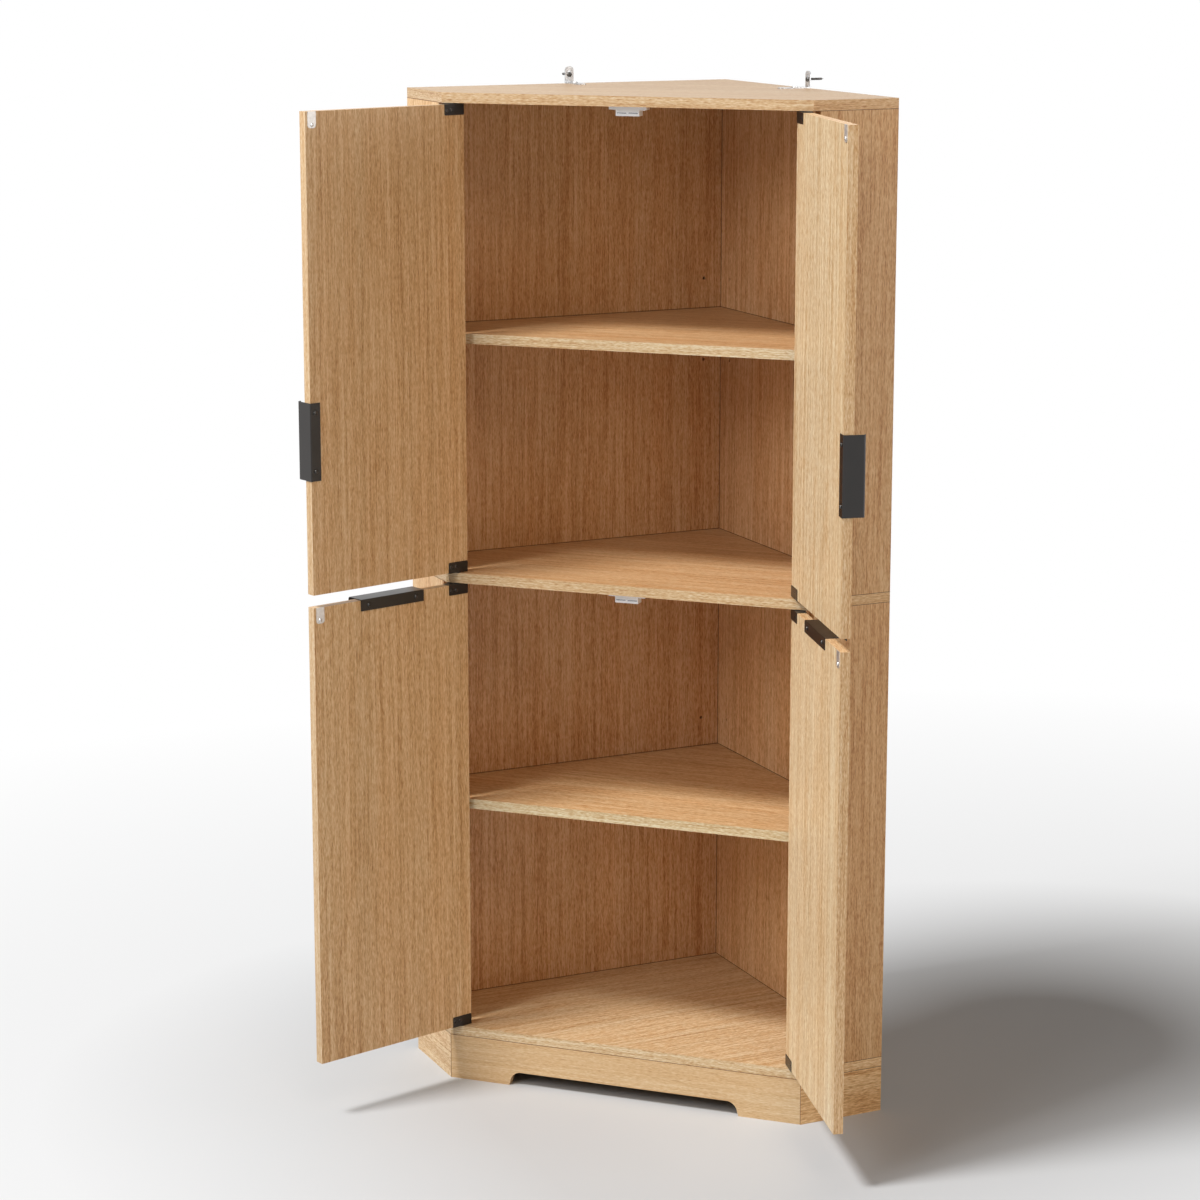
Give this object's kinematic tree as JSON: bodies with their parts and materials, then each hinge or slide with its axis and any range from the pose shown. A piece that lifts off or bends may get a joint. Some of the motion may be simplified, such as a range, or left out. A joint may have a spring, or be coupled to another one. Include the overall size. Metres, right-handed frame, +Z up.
{
  "type": "corner highboard cabinet",
  "caption": "Tall corner cabinet in light oak with paired doors above and below standing open, pivot hinges, edge pulls, loose shelves, magnetic catches and a shaped plinth.",
  "frame": {"origin": "rear corner of the plinth at floor level, where the two room walls meet", "axes": "+Z up, +X to the right seen from the front, +Y into the room corner, so the doors are on the -Y side"},
  "size_m": [0.889, 0.7408, 1.627],
  "materials": {
    "light_oak": "satin oak-pattern surface",
    "beech": "plain",
    "black_steel": "satin black",
    "zinc_plated_steel": "zinc plated",
    "bare_steel": "dull",
    "white_plastic": "smooth"
  },
  "bodies": {
    "carcass": {"top_panel": "light_oak", "middle_panel": "light_oak", "bottom_panel": "light_oak", "upper_left_back": "light_oak", "upper_right_back": "light_oak", "lower_left_back": "light_oak", "lower_right_back": "light_oak", "upper_left_return": "light_oak", "upper_right_return": "light_oak", "lower_left_return": "light_oak", "lower_right_return": "light_oak", "plinth_front": "light_oak", "plinth_left": "light_oak", "plinth_right": "light_oak", "plinth_left_back": "light_oak", "plinth_right_back": "light_oak", "upper_shelf": "light_oak", "lower_shelf": "light_oak", "upper_shelf_pins": "zinc_plated_steel", "lower_shelf_pins": "zinc_plated_steel", "upper_catch": "white_plastic", "lower_catch": "white_plastic", "catch_magnets": "bare_steel", "catch_screws": "zinc_plated_steel", "left_wall_bracket": "zinc_plated_steel", "right_wall_bracket": "zinc_plated_steel", "bracket_screws": "zinc_plated_steel", "wall_screws": "bare_steel", "upper_left_pivots": "black_steel", "upper_right_pivots": "black_steel", "lower_left_pivots": "black_steel", "lower_right_pivots": "black_steel", "pivot_screws": "black_steel", "carcass_dowels": "beech", "plinth_dowels": "beech", "cam_locks": "zinc_plated_steel", "cam_bolts": "bare_steel"},
    "upper_left_door_set": {"upper_left_door": "light_oak", "upper_left_handle": "black_steel", "upper_left_hinge_leaves": "black_steel", "upper_left_strike": "bare_steel", "upper_left_screws": "black_steel"},
    "upper_right_door_set": {"upper_right_door": "light_oak", "upper_right_handle": "black_steel", "upper_right_hinge_leaves": "black_steel", "upper_right_strike": "bare_steel", "upper_right_screws": "black_steel"},
    "lower_left_door_set": {"lower_left_door": "light_oak", "lower_left_handle": "black_steel", "lower_left_hinge_leaves": "black_steel", "lower_left_strike": "bare_steel", "lower_left_screws": "black_steel"},
    "lower_right_door_set": {"lower_right_door": "light_oak", "lower_right_handle": "black_steel", "lower_right_hinge_leaves": "black_steel", "lower_right_strike": "bare_steel", "lower_right_screws": "black_steel"}
  },
  "joints": [
    {"name": "upper_left_door_hinge", "type": "hinge", "parent": "carcass", "child": "upper_left_door_set", "pos_m": [-0.2815, -0.495, 1.2145], "axis": [0, 0, -1], "range_deg": [-120.5, 39.5]},
    {"name": "upper_right_door_hinge", "type": "hinge", "parent": "carcass", "child": "upper_right_door_set", "pos_m": [0.2815, -0.495, 1.2145], "axis": [0, 0, 1], "range_deg": [-120.5, 39.5]},
    {"name": "lower_left_door_hinge", "type": "hinge", "parent": "carcass", "child": "lower_left_door_set", "pos_m": [-0.2815, -0.495, 0.4595], "axis": [0, 0, -1], "range_deg": [-120.5, 39.5]},
    {"name": "lower_right_door_hinge", "type": "hinge", "parent": "carcass", "child": "lower_right_door_set", "pos_m": [0.2815, -0.495, 0.4595], "axis": [0, 0, 1], "range_deg": [-120.5, 39.5]}
  ]
}
